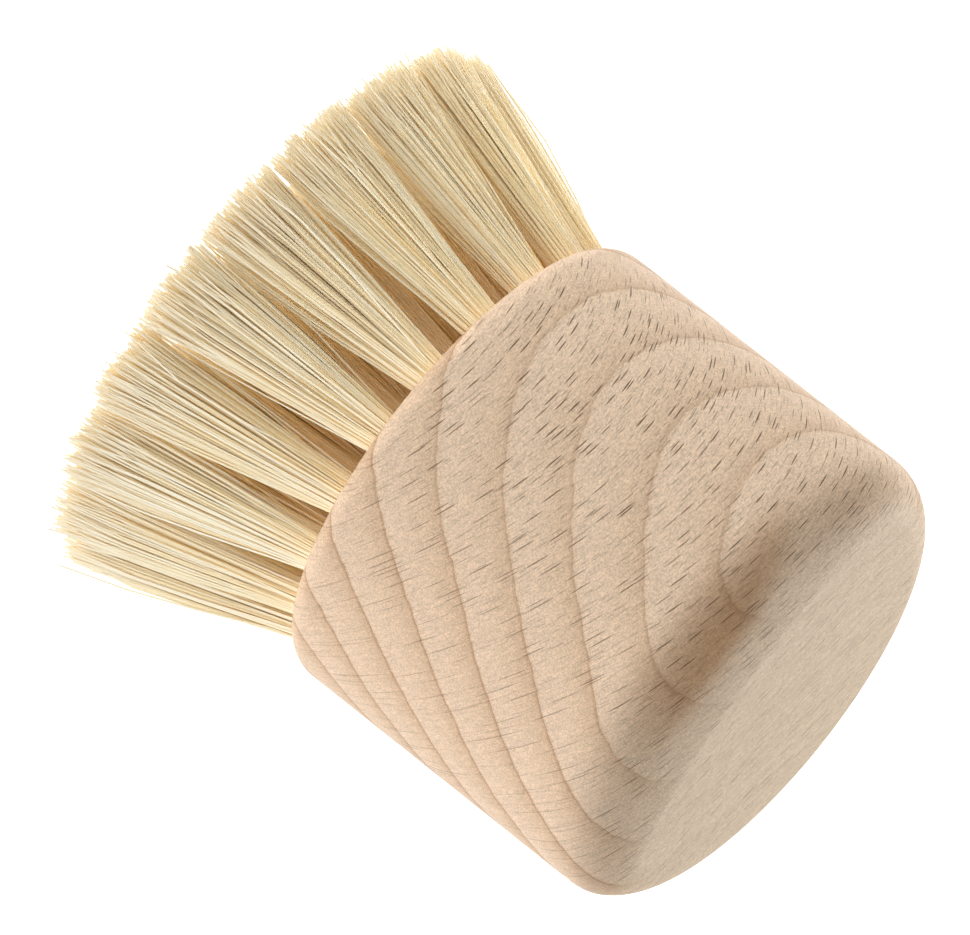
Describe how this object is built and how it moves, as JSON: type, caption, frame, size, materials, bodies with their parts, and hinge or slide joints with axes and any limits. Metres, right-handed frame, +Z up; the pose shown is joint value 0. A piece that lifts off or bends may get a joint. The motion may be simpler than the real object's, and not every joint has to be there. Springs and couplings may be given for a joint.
{
  "type": "dish brush",
  "caption": "Palm dish brush: a round beech block with a thumb scoop, and rings of cream plant-fibre tufts that fan out from its flat face, held by wire anchors.",
  "frame": {"origin": "on the surface that the brush stands on with its fibre tips, under the block's axis", "axes": "+Z is up, from the fibre tips to the block's flat top; -Y is the front, where the thumb scoop is; X runs across the scoop"},
  "size_m": [0.0788, 0.0726, 0.0833],
  "materials": {
    "wood": "matte",
    "fibre": "matte",
    "anchor_wire": "satin"
  },
  "bodies": {
    "root": {"handle_block": "wood", "outer_tufts": "fibre", "middle_tufts": "fibre", "inner_tufts": "fibre", "centre_tuft": "fibre", "outer_anchor_01": "anchor_wire", "outer_anchor_02": "anchor_wire", "outer_anchor_03": "anchor_wire", "outer_anchor_04": "anchor_wire", "outer_anchor_05": "anchor_wire", "outer_anchor_06": "anchor_wire", "outer_anchor_07": "anchor_wire", "outer_anchor_08": "anchor_wire", "outer_anchor_09": "anchor_wire", "outer_anchor_10": "anchor_wire", "outer_anchor_11": "anchor_wire", "outer_anchor_12": "anchor_wire", "outer_anchor_13": "anchor_wire", "outer_anchor_14": "anchor_wire", "outer_anchor_15": "anchor_wire", "outer_anchor_16": "anchor_wire", "outer_anchor_17": "anchor_wire", "outer_anchor_18": "anchor_wire", "middle_anchor_01": "anchor_wire", "middle_anchor_02": "anchor_wire", "middle_anchor_03": "anchor_wire", "middle_anchor_04": "anchor_wire", "middle_anchor_05": "anchor_wire", "middle_anchor_06": "anchor_wire", "middle_anchor_07": "anchor_wire", "middle_anchor_08": "anchor_wire", "middle_anchor_09": "anchor_wire", "middle_anchor_10": "anchor_wire", "middle_anchor_11": "anchor_wire", "middle_anchor_12": "anchor_wire", "inner_anchor_01": "anchor_wire", "inner_anchor_02": "anchor_wire", "inner_anchor_03": "anchor_wire", "inner_anchor_04": "anchor_wire", "inner_anchor_05": "anchor_wire", "inner_anchor_06": "anchor_wire", "centre_anchor": "anchor_wire"}
  },
  "joints": []
}
